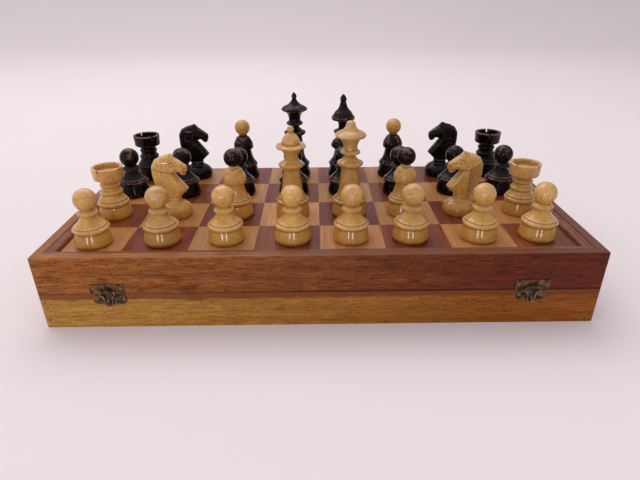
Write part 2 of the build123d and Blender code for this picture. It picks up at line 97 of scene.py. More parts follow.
def startFinish(name, shine):
    # shine holds the shader's inputs that are the same all over the surface
    material = bpy.data.materials.new(name)
    material.use_nodes = True
    tree = material.node_tree
    tree.nodes.clear()
    shader = addNode(tree, "ShaderNodeBsdfPrincipled", values=shine)
    addNode(tree, "ShaderNodeOutputMaterial", links={"Surface": (shader, "BSDF")})
    return material, tree, shader


def remap(tree, source, start=(0, 1), end=(0, 1)):
    # maps the range start of a value, given as (node, output), on to the range end
    values = dict(zip(("From Min", "From Max", "To Min", "To Max"), (*start, *end)))
    return addNode(tree, "ShaderNodeMapRange", None, values, {"Value": source})


def blend(tree, factor, under, over, how="MIX"):
    # lays a colour over another, which is a colour too or the node that gives it
    values, links = {"B": linear(over)}, {"Factor": factor}
    if isinstance(under, str):
        values["A"] = linear(under)
    else:
        links["A"] = (under, "Result")
    return addNode(tree, "ShaderNodeMix", {"data_type": "RGBA", "blend_type": how}, values, links)


def figure(tree, patch, detail=3.0, place=None, shift=0.0):
    # cloudy pattern whose patches are about this size along X, Y and Z, as long fibres or growth bands are
    place = place or (addNode(tree, "ShaderNodeTexCoord"), "Object")
    spread = addNode(tree, "ShaderNodeMapping", None,
                     {"Location": (shift, shift, shift), "Scale": [1 / size for size in patch]},
                     {"Vector": place})
    return addNode(tree, "ShaderNodeTexNoise", None, {"Scale": 1.0, "Detail": detail, "Roughness": 0.55},
                   {"Vector": (spread, "Vector")})


def along(axis, length, across):
    # patch size of fibres that run along an axis, in metres
    return [length if axis == name else across for name in "XYZ"]


def insideBox(tree, low, high, slack=0.00006):
    # 1 between two corners, 0 outside them by more than the slack
    place = addNode(tree, "ShaderNodeTexCoord")
    middle = [(a + b) / 2 for a, b in zip(low, high)]
    half = [(b - a) / 2 for a, b in zip(low, high)]
    offset = addNode(tree, "ShaderNodeVectorMath", {"operation": "SUBTRACT"}, {"Vector_001": middle},
                     {"Vector": (place, "Object")})
    size = addNode(tree, "ShaderNodeVectorMath", {"operation": "ABSOLUTE"}, None,
                   {"Vector": (offset, "Vector")})
    over = addNode(tree, "ShaderNodeVectorMath", {"operation": "SUBTRACT"}, {"Vector_001": half},
                   {"Vector": (size, "Vector")})
    parts = addNode(tree, "ShaderNodeSeparateXYZ", None, None, {"Vector": (over, "Vector")})
    flat = addNode(tree, "ShaderNodeMath", {"operation": "MAXIMUM"}, None,
                   {"Value": (parts, "X"), "Value_001": (parts, "Y")})
    furthest = addNode(tree, "ShaderNodeMath", {"operation": "MAXIMUM"}, None,
                       {"Value": (flat, "Value"), "Value_001": (parts, "Z")})
    return addNode(tree, "ShaderNodeMath", {"operation": "LESS_THAN"}, {"Value_001": slack},
                   {"Value": (furthest, "Value")})


def layWood(tree, shader, wood, place=None):
    # broad figure, fibres and pores; returns the node whose output is the wood's colour
    axis = wood["grain"]
    bands = figure(tree, along(axis, wood["bandLength"], wood["band"]), 2.0, place, 3.0)
    fibres = figure(tree, along(axis, wood["fibreLength"], wood["fibre"]), 4.0, place, 7.0)
    pores = figure(tree, along(axis, wood["poreLength"], wood["pore"]), 1.0, place, 11.0)
    spread = remap(tree, (bands, "Fac"), (0.34, 0.66))
    base = blend(tree, (spread, "Result"), wood["early"], wood["late"])
    streak = remap(tree, (fibres, "Fac"), (0.35, 0.72), (0, wood["streaks"]))
    streaked = blend(tree, (streak, "Result"), base, wood["streak"])
    specks = remap(tree, (pores, "Fac"), (0.6, 0.72), (0, wood["pores"]))
    colour = blend(tree, (specks, "Result"), streaked, wood["speck"])
    rough = remap(tree, (fibres, "Fac"), (0, 1), (wood["smoothest"], wood["roughest"]))
    tree.links.new(rough.outputs["Result"], shader.inputs["Roughness"])
    relief = addNode(tree, "ShaderNodeMath", {"operation": "MULTIPLY_ADD"}, {"Value_001": -0.6},
                     {"Value": (specks, "Result"), "Value_002": (fibres, "Fac")})
    bump = addNode(tree, "ShaderNodeBump", None, {"Strength": 0.35, "Distance": wood["relief"]},
                   {"Height": (relief, "Value")})
    tree.links.new(bump.outputs["Normal"], shader.inputs["Normal"])
    return colour


# Chessmen's finishes

boxwood = {
    "early": "#E5B861", "late": "#CF9A47", "streak": "#9C6826", "speck": "#5A3216",
    "streaks": 0.55, "pores": 0.7, "grain": "Z",
    "band": 7 * mm, "bandLength": 40 * mm, "fibre": 0.9 * mm, "fibreLength": 9 * mm,
    "pore": 0.5 * mm, "poreLength": 1.2 * mm,
    "smoothest": 0.2, "roughest": 0.42, "relief": 0.05 * mm,
    "amber": "#BE8430",  # darker and yellower towards the foot
    "blotch": "#B87E34",
    "creaseShade": "#70431A",  # painted shade in the creases and in the knights' cut lines
    "shine": {"IOR": 1.5, "Specular IOR Level": 0.15, "Coat Weight": 0.85, "Coat Roughness": 0.06},
    "rubbed": "#E6BC92", "bareFrom": 1.25, "bareTo": 1.95, "barest": 0.5,  # bare wood on rims and on top
}
ebonised = {
    "early": "#0A0807", "late": "#100C0A", "streak": "#060404", "speck": "#33241B",
    "streaks": 0.5, "pores": 0.35, "grain": "Z",
    "band": 6 * mm, "bandLength": 30 * mm, "fibre": 0.9 * mm, "fibreLength": 9 * mm,
    "pore": 0.5 * mm, "poreLength": 1.5 * mm,
    "smoothest": 0.16, "roughest": 0.36, "relief": 0.05 * mm,
    "amber": "#080605",
    "blotch": "#0C0907",
    "creaseShade": "#040303",
    "shine": {"IOR": 1.5, "Specular IOR Level": 0.08, "Coat Weight": 0.24, "Coat Roughness": 0.08},
    "rubbed": "#7E5842", "bareFrom": 1.44, "bareTo": 1.66, "barest": 0.75,
}


def turnedWoodFinish(name, wood):
    # Turned wood under shellac: glossy and darker at the foot, rubbed to paler bare wood on rims and top
    material, tree, shader = startFinish(name, wood["shine"])
    colour = layWood(tree, shader, wood)
    rise = addNode(tree, "ShaderNodeAttribute", {"attribute_name": "rise"})
    wearAndShade = addNode(tree, "ShaderNodeAttribute", {"attribute_name": "wearAndShade"})
    tone = addNode(tree, "ShaderNodeAttribute", {"attribute_name": "tone"})
    patches = figure(tree, [4 * mm] * 3, 3.0, shift=23.0)
    foot = remap(tree, (rise, "Fac"), (0.42, 0.05), (0, 0.75))
    footDarkened = blend(tree, (foot, "Result"), colour, wood["amber"])
    clouds = figure(tree, [6 * mm] * 3, 4.0, shift=41.0)
    blotches = remap(tree, (clouds, "Fac"), (0.5, 0.68), (0, 0.5))
    blotched = blend(tree, (blotches, "Result"), footDarkened, wood["blotch"])
    # painted shade: creases and cut lines, below zero, are darkened
    creaseShadeMask = remap(tree, (wearAndShade, "Fac"), (-0.12, -0.9), (0, 0.5))
    creaseShaded = blend(tree, (creaseShadeMask, "Result"), blotched, wood["creaseShade"])
    bare = addNode(tree, "ShaderNodeAttribute", {"attribute_name": "bare"})
    crown = addNode(tree, "ShaderNodeMapRange", None, {"From Min": 0.66, "From Max": 0.96},
                    {"Value": (rise, "Fac"), "To Max": (bare, "Fac")})
    exposed = addNode(tree, "ShaderNodeMath", {"operation": "ADD"}, None,
                      {"Value": (crown, "Result"), "Value_001": (wearAndShade, "Fac")})
    ragged = addNode(tree, "ShaderNodeMath", {"operation": "MULTIPLY_ADD"}, {"Value_001": 2.2},
                     {"Value": (patches, "Fac"), "Value_002": (exposed, "Value")})
    rubs = remap(tree, (ragged, "Value"), (wood["bareFrom"], wood["bareTo"]), (0, wood["barest"]))
    rubbed = blend(tree, (rubs, "Result"), creaseShaded, wood["rubbed"])
    shade = remap(tree, (tone, "Fac"), (0, 1), (0.86, 1.1))
    toned = addNode(tree, "ShaderNodeHueSaturation", None, None,
                    {"Value": (shade, "Result"), "Color": (rubbed, "Result")})
    tree.links.new(toned.outputs["Color"], shader.inputs["Base Color"])
    return material


# Board and box finishes

board = {"square": 47.5 * mm, "margin": 10 * mm}
satin = {"IOR": 1.5, "Specular IOR Level": 0.25, "Coat Weight": 0.15, "Coat Roughness": 0.18}
dulled = {"IOR": 1.5, "Specular IOR Level": 0.14, "Coat Weight": 0.05, "Coat Roughness": 0.2}
# a painted shadow along the seam, and dust with a painted sheen on the tops of the rails
seamShadowAndTopSheen = {"seamShadow": "#2E0F07", "dustAndSheen": "#B8947C"}

lightVeneer = {
    "early": "#D29B63", "late": "#BE864C", "streak": "#946234", "speck": "#7A4A28",
    "streaks": 0.7, "pores": 0.4, "grain": "Y",
    "band": 9 * mm, "bandLength": 90 * mm, "fibre": 1.1 * mm, "fibreLength": 30 * mm,
    "pore": 0.6 * mm, "poreLength": 4 * mm,
    "smoothest": 0.24, "roughest": 0.4, "relief": 0.02 * mm, "shine": satin,
}
darkVeneer = {
    "early": "#935030", "late": "#743820", "streak": "#502416", "speck": "#2C1410",
    "streaks": 0.7, "pores": 0.5, "grain": "Y",
    "band": 8 * mm, "bandLength": 90 * mm, "fibre": 1.1 * mm, "fibreLength": 26 * mm,
    "pore": 0.6 * mm, "poreLength": 4 * mm,
    "smoothest": 0.22, "roughest": 0.38, "relief": 0.02 * mm, "shine": satin,
}


def veneerFinish(name, wood):
    # Knife-cut veneer under satin varnish: every square is its own leaf, with its own tone and figure
    material, tree, shader = startFinish(name, wood["shine"])
    place = addNode(tree, "ShaderNodeTexCoord")
    count = addNode(tree, "ShaderNodeMapping", None,
                    {"Location": (0, -(front + board["margin"]) / board["square"], 0),
                     "Scale": (1 / board["square"], 1 / board["square"], 1 / seam)},
                    {"Vector": (place, "Object")})
    whole = addNode(tree, "ShaderNodeVectorMath", {"operation": "FLOOR"}, None,
                    {"Vector": (count, "Vector")})
    leaf = addNode(tree, "ShaderNodeTexWhiteNoise", {"noise_dimensions": "3D"}, None,
                   {"Vector": (whole, "Vector")})
    moved = addNode(tree, "ShaderNodeVectorMath", {"operation": "MULTIPLY_ADD"},
                    {"Vector_001": (0.4, 0.4, 0.0)},
                    {"Vector": (leaf, "Color"), "Vector_002": (place, "Object")})
    colour = layWood(tree, shader, wood, (moved, "Vector"))
    shade = remap(tree, (leaf, "Value"), (0, 1), (0.84, 1.14))
    parts = addNode(tree, "ShaderNodeSeparateXYZ", None, None, {"Vector": (leaf, "Color")})
    warmth = remap(tree, (parts, "Y"), (0, 1), (0.488, 0.506))
    toned = addNode(tree, "ShaderNodeHueSaturation", None, None,
                    {"Hue": (warmth, "Result"), "Value": (shade, "Result"), "Color": (colour, "Result")})
    tree.links.new(toned.outputs["Color"], shader.inputs["Base Color"])
    return material


upperRail = {
    "early": "#C27A36", "late": "#985A22", "streak": "#5E2A0F", "speck": "#34120A",
    "streaks": 0.9, "pores": 0.75,
    "band": 5 * mm, "bandLength": 90 * mm, "fibre": 1.0 * mm, "fibreLength": 12 * mm,
    "pore": 0.75 * mm, "poreLength": 2.2 * mm,
    "smoothest": 0.24, "roughest": 0.42, "relief": 0.04 * mm, "shine": dulled,
    "far": "#A27381", "smudge": "#32150A",  # painted shade: towards the right end, away from the light, the wood is multiplied by far
}
lowerRail = {
    "early": "#D3A24E", "late": "#B8893A", "streak": "#84521E", "speck": "#5A2C12",
    "streaks": 0.85, "pores": 0.7,
    "band": 6 * mm, "bandLength": 100 * mm, "fibre": 1.0 * mm, "fibreLength": 14 * mm,
    "pore": 0.75 * mm, "poreLength": 2.4 * mm,
    "smoothest": 0.26, "roughest": 0.44, "relief": 0.04 * mm, "shine": dulled,
    # far multiplies in painted shade towards the right end here too
    "far": "#C89A62", "smudge": "#6E3A14", "spill": "#6E3216",
}
beadWood = {
    "early": "#8A5630", "late": "#744022", "streak": "#4E2814", "speck": "#2A130B",
    "streaks": 0.5, "pores": 0.3, "grain": "X",
    "band": 6 * mm, "bandLength": 120 * mm, "fibre": 0.8 * mm, "fibreLength": 26 * mm,
    "pore": 0.5 * mm, "poreLength": 5 * mm,
    "smoothest": 0.24, "roughest": 0.4, "relief": 0.03 * mm,
    "shine": {"IOR": 1.5, "Specular IOR Level": 0.3, "Coat Weight": 0.2, "Coat Roughness": 0.15},
}
rawWood = {
    "early": "#D9BC8C", "late": "#C6A36E", "streak": "#A98453", "speck": "#8A6438",
    "streaks": 0.5, "pores": 0.4, "grain": "X",
    "band": 14 * mm, "bandLength": 160 * mm, "fibre": 1.2 * mm, "fibreLength": 34 * mm,
    "pore": 0.7 * mm, "poreLength": 5 * mm,
    "smoothest": 0.6, "roughest": 0.8, "relief": 0.05 * mm,
    "inside": "#CDAA78", "shine": {"IOR": 1.45},
}


def railFinish(name, wood, axis):
    # Stained hardwood strip under old varnish, duller and smudged by hands, with painted shade towards the
    # right, a painted shadow along the seam and a painted sheen on top; bare wood inside the trays
    material, tree, shader = startFinish(name, wood["shine"])
    colour = layWood(tree, shader, {**wood, "grain": axis})
    place = addNode(tree, "ShaderNodeTexCoord")
    parts = addNode(tree, "ShaderNodeSeparateXYZ", None, None, {"Vector": (place, "Object")})
    # painted shade, deepening from left to right, away from the light on the left
    shadeToRight = remap(tree, (parts, "X"), (-0.17, 0.13))
    shadedToRight = blend(tree, (shadeToRight, "Result"), colour, wood["far"], "MULTIPLY")
    hands = figure(tree, (26 * mm, 26 * mm, 9 * mm), 4.0, shift=31.0)
    marks = remap(tree, (hands, "Fac"), (0.58, 0.74), (0, 0.6))
    smudged = blend(tree, (marks, "Result"), shadedToRight, wood["smudge"])
    if "spill" in wood:  # the upper tray's stain has run on to the lower one, in a ragged band just below the seam
        wander = addNode(tree, "ShaderNodeMath", {"operation": "MULTIPLY_ADD"}, {"Value_001": 5 * mm},
                         {"Value": (hands, "Fac"), "Value_002": (parts, "Z")})
        near = remap(tree, (wander, "Value"), (seam - 3.5 * mm, seam - 1.5 * mm), (0, 0.75))
        smudged = blend(tree, (near, "Result"), smudged, wood["spill"])
    # a painted shadow in the gap of the seam, a dark line that grows towards the right
    aboveSeam = addNode(tree, "ShaderNodeMath", {"operation": "SUBTRACT"}, {"Value_001": seam},
                        {"Value": (parts, "Z")})
    offSeam = addNode(tree, "ShaderNodeMath", {"operation": "ABSOLUTE"}, None,
                      {"Value": (aboveSeam, "Value")})
    towardsRight = remap(tree, (parts, "X"), (-0.15, 0.02), (0.15, 0.8))
    lined = addNode(tree, "ShaderNodeMapRange", None, {"From Min": 1.2 * mm, "From Max": 0.3 * mm},
                    {"Value": (offSeam, "Value"), "To Max": (towardsRight, "Result")})
    seamed = blend(tree, (lined, "Result"), smudged, seamShadowAndTopSheen["seamShadow"])
    # faces that look up are paler: dust, and a painted sheen, the reflection of the bright room on the
    # varnish
    geometry = addNode(tree, "ShaderNodeNewGeometry")
    facing = addNode(tree, "ShaderNodeSeparateXYZ", None, None, {"Vector": (geometry, "Normal")})
    dustAndSheenMask = remap(tree, (facing, "Z"), (0.8, 1.0), (0, 0.16))
    dustedAndSheened = blend(tree, (dustAndSheenMask, "Result"), seamed, seamShadowAndTopSheen["dustAndSheen"])
    inside = insideBox(tree, (-innerX, innerFront, seam - 18.5 * mm), (innerX, innerBack, seam + 18.5 * mm))
    bare = blend(tree, (inside, "Value"), dustedAndSheened, rawWood["inside"])
    tree.links.new(bare.outputs["Result"], shader.inputs["Base Color"])
    return material


def plainWoodFinish(name, wood):
    # Planed wood with no stain
    material, tree, shader = startFinish(name, wood["shine"])
    colour = layWood(tree, shader, wood)
    tree.links.new(colour.outputs["Result"], shader.inputs["Base Color"])
    return material


oldBrass = {
    "metal": "#67492A", "rubbed": "#98744A", "patina": "#26160E", "patch": 3.0 * mm, "grit": 0.5 * mm,
}
wireBrass = {
    "metal": "#7E6450", "rubbed": "#A88E78", "patina": "#3A2820", "patch": 2.0 * mm, "grit": 0.5 * mm,
}
rustyIron = {
    "metal": "#4A3628", "rubbed": "#5E4838", "patina": "#2A1C14", "patch": 0.8 * mm, "grit": 0.3 * mm,
}
dullSteel = {
    "metal": "#7A6850", "rubbed": "#A08C6C", "patina": "#3C2C20", "patch": 1.0 * mm, "grit": 0.4 * mm,
}


def metalFinish(name, metal, patinaFrom, patinaTo):
    # Stamped or drawn metal, browned with age: bright where it is rubbed, matt where the patina is thick
    material, tree, shader = startFinish(name, {})
    clouds = figure(tree, [metal["patch"]] * 3, 4.0, shift=5.0)
    grit = figure(tree, [metal["grit"]] * 3, 2.0, shift=9.0)
    aged = remap(tree, (clouds, "Fac"), (patinaFrom, patinaTo))
    bright = blend(tree, (grit, "Fac"), metal["metal"], metal["rubbed"])
    colour = blend(tree, (aged, "Result"), bright, metal["patina"])
    metallic = remap(tree, (aged, "Result"), (0, 1), (1.0, 0.45))
    rough = remap(tree, (aged, "Result"), (0, 1), (0.3, 0.6))
    bump = addNode(tree, "ShaderNodeBump", None, {"Strength": 0.4, "Distance": 0.03 * mm},
                   {"Height": (grit, "Fac")})
    tree.links.new(colour.outputs["Result"], shader.inputs["Base Color"])
    tree.links.new(metallic.outputs["Result"], shader.inputs["Metallic"])
    tree.links.new(rough.outputs["Result"], shader.inputs["Roughness"])
    tree.links.new(bump.outputs["Normal"], shader.inputs["Normal"])
    return material


finishes = {
    "boxwood": turnedWoodFinish("shellacked boxwood", boxwood),
    "ebonised_wood": turnedWoodFinish("ebonised wood", ebonised),
    "light_veneer": veneerFinish("varnished light veneer", lightVeneer),
    "dark_veneer": veneerFinish("varnished dark veneer", darkVeneer),
    "bead_wood": plainWoodFinish("stained bead", beadWood),
    "panel_wood": plainWoodFinish("raw plywood", rawWood),
    "clasp_brass": metalFinish("browned stamped brass", oldBrass, 0.35, 0.6),
    "hinge_brass": metalFinish("dull hinge brass", oldBrass, 0.45, 0.75),
    "bail_wire": metalFinish("browned brass wire", wireBrass, 0.42, 0.62),
    "nail_steel": metalFinish("dull steel", dullSteel, 0.45, 0.7),
    "brad_iron": metalFinish("rusty iron", rustyIron, 0.35, 0.6),
    "upper_front": railFinish("upper tray, front strip", upperRail, "X"),
    "upper_side": railFinish("upper tray, side strips", upperRail, "Y"),
    "lower_front": railFinish("lower tray, front strip", lowerRail, "X"),
    "lower_side": railFinish("lower tray, side strips", lowerRail, "Y"),
}
print("finishes:", len(finishes))


# Meshes and pieces


def setAttribute(mesh, key, values):
    layer = mesh.attributes.get(key) or mesh.attributes.new(key, "FLOAT", "POINT")
    layer.data.foreach_set("value", np.asarray(values, dtype=np.float32))


def getPoints(mesh):
    points = np.empty(3 * len(mesh.vertices), dtype=np.float32)
    mesh.vertices.foreach_get("co", points)
    return points.reshape(-1, 3).astype(float)


def newMesh(name, shape):
    mesh = bpy.data.meshes.new(name)
    shape.to_mesh(mesh)
    shape.free()
    return mesh


def smoothMesh(mesh):
    # smooth but at real edges
    mesh.shade_smooth()
    mesh.set_sharp_from_angle(angle=math.radians(38))
    return mesh


def addObject(name, data):
    holder = bpy.data.objects.new(name, data)
    bpy.context.collection.objects.link(holder)
    return holder


def finishedMesh(holder):
    # the mesh of an object after its modifiers
    return bpy.data.meshes.new_from_object(holder.evaluated_get(bpy.context.evaluated_depsgraph_get()))


def tidyMesh(mesh):
    # faces outwards, and smooth
    shape = bmesh.new()
    shape.from_mesh(mesh)
    bmesh.ops.recalc_face_normals(shape, faces=shape.faces)
    if shape.calc_volume(signed=True) < 0:
        bmesh.ops.reverse_faces(shape, faces=shape.faces)
    shape.to_mesh(mesh)
    shape.free()
    return smoothMesh(mesh)


def evaluate(mesh, tree, inputs):
    # runs a node tree on a mesh and returns the plain mesh it makes
    holder = addObject("holder", mesh)
    modifier = holder.modifiers.new("shape", "NODES")
    modifier.node_group = tree
    for item in tree.interface.items_tree:
        if item.item_type == "SOCKET" and item.name in inputs:
            modifier[item.identifier] = inputs[item.name]
    result = finishedMesh(holder)
    bpy.data.objects.remove(holder)
    return result


def addPiece(name, mesh, replaced, material=None):
    if material:
        mesh.materials.clear()
        mesh.materials.append(material)
    piece = addObject(name, mesh)
    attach(piece, bodyOf[replaced])
    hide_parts(replaced)
    return piece


def startTree(name, given, sockets, made):
    # a node tree that takes a geometry and plain inputs, and makes a geometry
    tree = bpy.data.node_groups.new(name, "GeometryNodeTree")
    tree.interface.new_socket(given, in_out="INPUT", socket_type="NodeSocketGeometry")
    for key, kind in sockets.items():
        tree.interface.new_socket(key, in_out="INPUT", socket_type="NodeSocket" + kind)
    tree.interface.new_socket(made, in_out="OUTPUT", socket_type="NodeSocketGeometry")
    return tree, addNode(tree, "NodeGroupInput")


# Lathe: turns an outline of vertices (radius, 0, height) round the Z axis

lathe = {"segments": 56, "rounding": 0.35 * mm, "roundingSteps": 3, "stride": 1.3}


def latheTree():
    sockets = {"Segments": "Int", "Edge Rounding": "Float", "Rounding Steps": "Int", "Finish": "Material"}
    tree, given = startTree("lathe", "Outline", sockets, "Turned")
    line = addNode(tree, "GeometryNodeMeshToCurve", None, None, {"Mesh": (given, "Outline")})
    corner = addNode(tree, "GeometryNodeInputNamedAttribute", {"data_type": "FLOAT"}, {"Name": "corner"})
    radius = addNode(tree, "ShaderNodeMath", {"operation": "MULTIPLY"}, None,
                     {"Value": (corner, "Attribute"), "Value_001": (given, "Edge Rounding")})
    rounded = addNode(tree, "GeometryNodeFilletCurve", {"mode": "POLY"}, {"Limit Radius": True},
                      {"Curve": (line, "Curve"), "Radius": (radius, "Value"),
                       "Count": (given, "Rounding Steps")})
    dots = addNode(tree, "GeometryNodeCurveToPoints", {"mode": "EVALUATED"}, None,
                   {"Curve": (rounded, "Curve")})
    size = addNode(tree, "GeometryNodeAttributeDomainSize", {"component": "POINTCLOUD"}, None,
                   {"Geometry": (dots, "Points")})
    columns = addNode(tree, "FunctionNodeIntegerMath", {"operation": "ADD"}, {"Value_001": 1},
                      {"Value": (given, "Segments")})
    grid = addNode(tree, "GeometryNodeMeshGrid", None, None,
                   {"Vertices X": (columns, "Value"), "Vertices Y": (size, "Point Count")})
    index = addNode(tree, "GeometryNodeInputIndex")
    ring = addNode(tree, "FunctionNodeIntegerMath", {"operation": "DIVIDE_FLOOR"}, None,
                   {"Value": (index, "Index"), "Value_001": (size, "Point Count")})
    step = addNode(tree, "FunctionNodeIntegerMath", {"operation": "MODULO"}, None,
                   {"Value": (index, "Index"), "Value_001": (size, "Point Count")})
    position = addNode(tree, "GeometryNodeInputPosition")
    wearAndShadeRead = addNode(tree, "GeometryNodeInputNamedAttribute", {"data_type": "FLOAT"}, {"Name": "wearAndShade"})
    outline = addNode(tree, "GeometryNodeSampleIndex", {"data_type": "FLOAT_VECTOR"}, None,
                      {"Geometry": (dots, "Points"), "Value": (position, "Position"),
                       "Index": (step, "Value")})
    wearAndShade = addNode(tree, "GeometryNodeSampleIndex", {"data_type": "FLOAT"}, None,
                   {"Geometry": (dots, "Points"), "Value": (wearAndShadeRead, "Attribute"), "Index": (step, "Value")})
    share = addNode(tree, "ShaderNodeMath", {"operation": "DIVIDE"}, None,
                    {"Value": (ring, "Value"), "Value_001": (given, "Segments")})
    angle = addNode(tree, "ShaderNodeMath", {"operation": "MULTIPLY"}, {"Value_001": math.tau},
                    {"Value": (share, "Value")})
    turned = addNode(tree, "ShaderNodeVectorRotate", {"rotation_type": "Z_AXIS"}, None,
                     {"Vector": (outline, "Value"), "Angle": (angle, "Value")})
    skin = addNode(tree, "GeometryNodeSetPosition", None, None,
                   {"Geometry": (grid, "Mesh"), "Position": (turned, "Vector")})
    marked = addNode(tree, "GeometryNodeStoreNamedAttribute", {"data_type": "FLOAT", "domain": "POINT"},
                     {"Name": "wearAndShade"}, {"Geometry": (skin, "Geometry"), "Value": (wearAndShade, "Value")})
    closed = addNode(tree, "GeometryNodeMergeByDistance", None, {"Distance": 0.002 * mm},
                     {"Geometry": (marked, "Geometry")})
    real = addNode(tree, "GeometryNodeRealizeInstances", None, None, {"Geometry": (closed, "Geometry")})
    painted = addNode(tree, "GeometryNodeSetMaterial", None, None,
                      {"Geometry": (real, "Geometry"), "Material": (given, "Finish")})
    addNode(tree, "NodeGroupOutput", None, None, {"Turned": (painted, "Geometry")})
    return tree


latheNodes = latheTree()


def outlineMesh(outline, ball=None):
    # an outline of (radius, height, bulge) in mm; a ball on top is (neck radius, radius, middle's height)
    path = [(0.0, outline[0][1], 0), (*outline[0][:2], 1)]
    for (r0, z0, _), (r1, z1, bulge) in zip(outline, outline[1:]):
        run = math.hypot(r1 - r0, z1 - z0)
        steps = max(2, math.ceil(run / lathe["stride"]))
        for step in range(1, steps + 1):
            t = step / steps
            swell = 4 * bulge * t * (1 - t) / run
            radius = r0 + t * (r1 - r0) + swell * (z1 - z0)
            height = z0 + t * (z1 - z0) - swell * (r1 - r0)
            path.append((radius, height, int(step == steps)))
    if ball:
        neck, radius, middle = ball
        start = math.asin(neck / radius)
        steps = max(10, math.ceil(2.6 * radius / lathe["stride"]))
        for step in range(steps + 1):
            angle = start + (math.pi - start) * step / steps
            reach = radius * math.sin(angle) if step < steps else 0.0
            path.append((reach, middle - radius * math.cos(angle), int(step == 0)))
    else:
        path.append((0.0, path[-1][1], 0))
    # rims, where the outline turns in towards the axis, are worn; creases, where it turns out, are below zero
    # and get painted shade
    wearAndShade = [0.0] * len(path)
    for i in range(1, len(path) - 1):
        (r0, z0, _), (r1, z1, corner), (r2, z2, _) = path[i - 1:i + 2]
        turn = math.atan2(z2 - z1, r2 - r1) - math.atan2(z1 - z0, r1 - r0)
        turn = (turn + math.pi) % math.tau - math.pi
        wearAndShade[i] = corner * min(1.0, max(-1.0, turn / math.radians(55)))
    mesh = bpy.data.meshes.new("outline")
    pairs = [(i, i + 1) for i in range(len(path) - 1)]
    mesh.from_pydata([(r * mm, 0, z * mm) for r, z, _ in path], pairs, [])
    setAttribute(mesh, "corner", [corner for _, _, corner in path])
    setAttribute(mesh, "wearAndShade", wearAndShade)
    return mesh


def turn(outline, material, ball=None):
    made = evaluate(outlineMesh(outline, ball), latheNodes, {
        "Segments": lathe["segments"], "Edge Rounding": lathe["rounding"],
        "Rounding Steps": lathe["roundingSteps"], "Finish": material,
    })
    return tidyMesh(made)


# The men's outlines, from the foot up: (radius, height, bulge) in mm

pawn = {
    "outline": [
        (12.2, 0, 0), (13.5, 3.2, 0.45), (11.3, 11, 0.2), (12.8, 12, 0.1), (12.7, 13.9, 0.35),
        (11, 15, 0), (11, 15.7, 0), (5.4, 22.7, -0.7), (5.4, 23.4, 0), (7.2, 24, 0), (6.9, 25.7, 0.4),
    ],
    "ball": (4.6, 8.2, 34.6),
}
rook = {
    "outline": [
        (12, 0, 0), (13, 3, 0.4), (11.2, 10.6, 0.2), (12.2, 11.8, 0.1), (12.1, 13.6, 0.25),
        (10.9, 14.6, 0), (10.6, 15.9, 0.3), (9.9, 16.5, 0), (8.4, 20.4, -0.3), (8.9, 21.4, 0.2),
        (8.6, 22.8, 0.2), (7.5, 23.6, 0), (7.3, 26.2, -0.2), (7.9, 27.3, 0.2), (7.6, 28.6, 0.2),
        (6.9, 29.4, 0), (7.2, 30.4, 0), (11.2, 32.6, -0.7), (11.6, 34.4, 0.3), (12.1, 42.3, 0),
        (9.8, 42.3, 0), (9.6, 38.6, 0),
    ],
    "notch": 1.5, "notchFloor": 39.3,
    "turned": {("light", "left"): 73, ("light", "right"): 36, ("dark", "left"): 43, ("dark", "right"): 81},
}
bishop = {
    "outline": [
        (12.4, 0, 0), (13.4, 3, 0.45), (11.3, 11, 0.2), (12.1, 12, 0.1), (12, 13.7, 0.3),
        (10.9, 14.7, 0), (10.7, 15.6, 0.2), (10, 16.1, 0), (7, 27.6, -0.6), (7, 28.2, 0), (9.1, 28.7, 0),
        (9.3, 30, 0.15), (7.2, 37, 0.7), (4.2, 40.4, 0.5), (3.4, 41.92, 0),
    ],
    "ballFoot": [(1.6, 38, 0), (1.6, 41.9, 0)],
    "ball": (3.4, 7.3, 48.4),
}
king = {
    "outline": [
        (13.2, 0, 0), (14.3, 3.2, 0.45), (12.2, 11.2, 0.2), (13.4, 12.2, 0.1), (13.3, 13.9, 0.3),
        (11.9, 14.9, 0), (11.6, 15.9, 0.2), (10.9, 16.5, 0), (8.4, 26, -0.7), (6.9, 39.4, -0.2),
        (7.3, 41.2, 0), (9.7, 42.2, 0.1), (9.6, 44.8, 0.7), (4.2, 49.2, -0.7), (4.2, 50, 0),
        (7.4, 51.4, 0), (7.4, 53.4, 0.5), (5.7, 54.6, 0), (5.5, 57.2, -0.1), (6.3, 60.2, -0.1),
        (11.7, 64.6, -0.8), (11.8, 66.6, 0.5),
    ],
    "spire": [(7.3, 69.1, 0.3), (4, 71.9, -0.2), (1.8, 75.6, -0.3), (2.6, 77.2, 0.2), (0.4, 80.9, 0.3)],
    "stump": [(8, 69, 0.2), (6.1, 69.8, 0), (3.7, 73.6, -0.3), (3, 76, 0.2), (0.4, 76.8, 0.2)],
}
lightQueen = {
    "outline": [
        (12.9, 0, 0), (13.9, 3.2, 0.45), (11.9, 11.2, 0.2), (13.1, 12.3, 0.1), (13, 14, 0.3),
        (11.6, 14.9, 0), (11.3, 15.9, 0.2), (10.6, 16.5, 0), (8.1, 26, -0.7), (6.6, 38.8, -0.2),
        (7, 40.4, 0), (9.6, 41.4, 0.1), (9.5, 44, 0.7), (5.3, 47.6, -0.6), (5.6, 51.2, -0.1),
        (11.4, 56.4, -1.1), (11.4, 58.4, 0.5), (7.1, 59.5, 0), (6.2, 63.8, 0.5), (2.2, 67.9, 0.3),
    ],
    "ball": (2.0, 2.6, 70.7),
}
